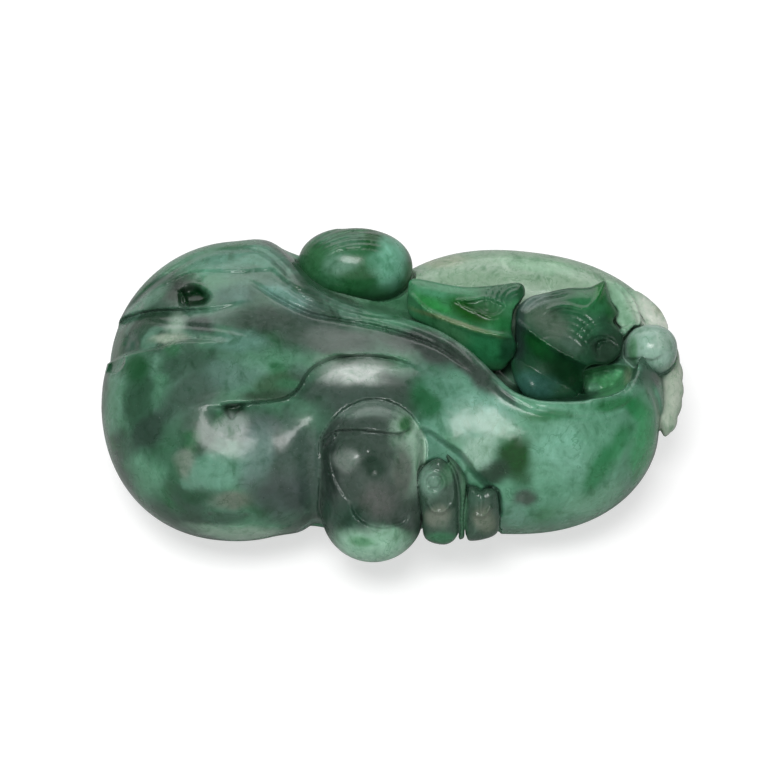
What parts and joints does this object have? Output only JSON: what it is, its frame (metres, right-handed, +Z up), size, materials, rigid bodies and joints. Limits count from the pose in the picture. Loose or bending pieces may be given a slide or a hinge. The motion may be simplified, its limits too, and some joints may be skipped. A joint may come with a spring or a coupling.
{
  "type": "jade palm stone",
  "caption": "Polished jade stone that fits the palm, carved as one with rounded lobes, a curving band, buds and leaves in a hollow, and a boss at the front.",
  "frame": {"origin": "centre of the flat spot on the underside", "axes": "+X along the stone toward the end with the buds and leaves, -Y toward the front with the boss, +Z up"},
  "size_m": [0.0702, 0.0468, 0.0242],
  "materials": {
    "jade": "polished, mottled green"
  },
  "bodies": {
    "root": {"jade_palm_stone": "jade"}
  },
  "joints": []
}
